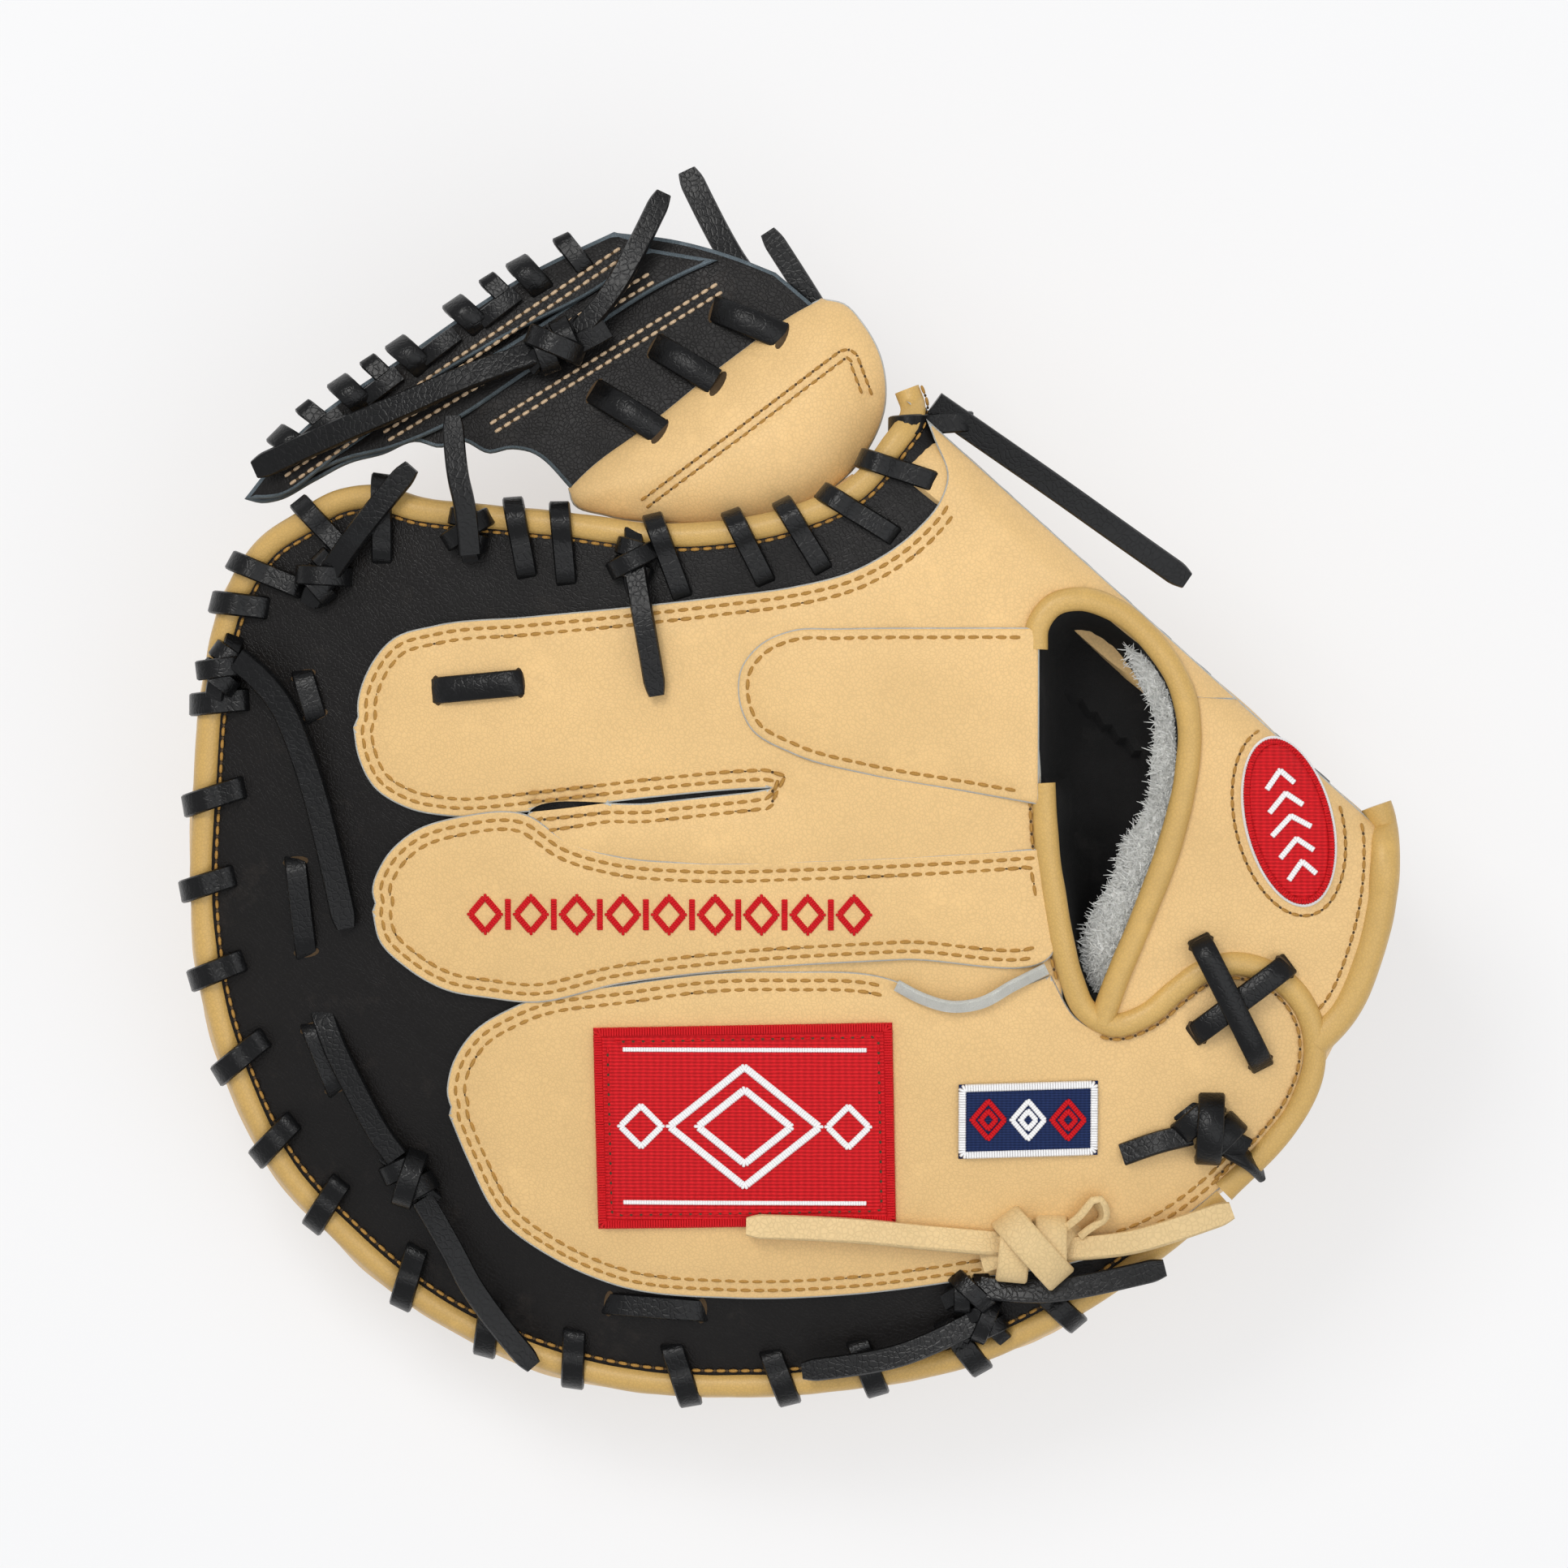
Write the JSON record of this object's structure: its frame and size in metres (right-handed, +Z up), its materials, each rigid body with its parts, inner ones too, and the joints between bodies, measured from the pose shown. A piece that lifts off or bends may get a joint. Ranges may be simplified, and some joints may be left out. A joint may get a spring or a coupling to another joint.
{
  "type": "baseball catcher mitt",
  "caption": "Catcher's mitt lying palm down: padded leather finger half, folding thumb half, laced web, strap and wrist tab.",
  "frame": {"origin": "centre of the footprint, on the surface that the mitt lies on", "axes": "+X from the fingertips to the wrist, +Y towards the web and thumb, +Z up through the back of the hand"},
  "size_m": [0.2923, 0.3006, 0.1125],
  "materials": {
    "tan_leather": "smooth tan steerhide",
    "black_leather": "smooth black steerhide",
    "binding_leather": "rolled gold-tan leather",
    "felt": "pressed wool felt",
    "lining_leather": "soft deerskin lining",
    "shearling": "short white wool",
    "patch_cloth": "embroidered red cloth",
    "black_lace": "glossy black rawhide",
    "tan_lace": "pale rawhide"
  },
  "bodies": {
    "finger_half": {"back_shell": "black_leather", "finger_stalls": "lining_leather", "hand_lining": "lining_leather", "heel_binding": "binding_leather", "heel_knot_lower": "black_lace", "heel_knot_upper": "black_lace", "heel_lower_tail": "black_lace", "heel_upper_tail": "black_lace", "index_panel": "tan_leather", "index_slot_lace": "black_lace", "index_tip_knot": "black_lace", "index_tip_tail": "black_lace", "little_finger_panel": "tan_leather", "lower_shell_knot": "black_lace", "lower_shell_tail": "black_lace", "middle_panel": "tan_leather", "notch_knot": "black_lace", "notch_tail": "black_lace", "opening_binding": "binding_leather", "palm_leather": "tan_leather", "palm_padding": "felt", "pointing_pad": "tan_leather", "red_patch": "patch_cloth", "rim_binding": "binding_leather", "rim_knot": "black_lace", "rim_knot_tail": "black_lace", "rim_lace": "black_lace", "shell_lace": "black_lace", "small_patch": "patch_cloth", "strap_patch": "patch_cloth", "strap_shearling": "shearling", "tan_knot": "tan_lace", "tan_left_tail": "tan_lace", "tan_right_tail": "tan_lace", "web_side_knot": "black_lace", "web_side_lace": "black_lace", "web_side_tail": "black_lace", "wrist_knot": "black_lace", "wrist_lace_over": "black_lace", "wrist_lace_under": "black_lace", "wrist_strap": "tan_leather", "wrist_tab": "tan_leather"},
    "thumb_half": {"opening_arch": "binding_leather", "thumb_back": "tan_leather", "thumb_binding": "binding_leather", "thumb_lace": "black_lace", "thumb_padding": "felt", "thumb_palm": "tan_leather", "thumb_stall": "lining_leather", "thumb_tail": "black_lace"},
    "web": {"crotch_tail": "black_lace", "web_corner_tail": "black_lace", "web_gusset": "tan_leather", "web_knot": "black_lace", "web_lip_lace": "black_lace", "web_long_tail": "black_lace", "web_panel": "black_leather", "web_seam_lace": "black_lace", "web_short_tail": "black_lace", "web_strips": "black_leather"}
  },
  "joints": [
    {"name": "mitt_fold", "type": "hinge", "parent": "finger_half", "child": "thumb_half", "pos_m": [0.06935, 0.04377, 0.078], "axis": [-0.7438, 0.6684, 0], "range_deg": [-2, 18], "stiffness_Nm_per_rad": 3},
    {"name": "web_fold", "type": "hinge", "parent": "finger_half", "child": "web", "pos_m": [-0.06, 0.078, 0.062], "axis": [1, 0, 0], "range_deg": [-12.5, 1.5], "stiffness_Nm_per_rad": 0.5}
  ],
  "couplings": [
    {"joint": "web_fold", "follows": "mitt_fold", "ratio": -0.67}
  ]
}
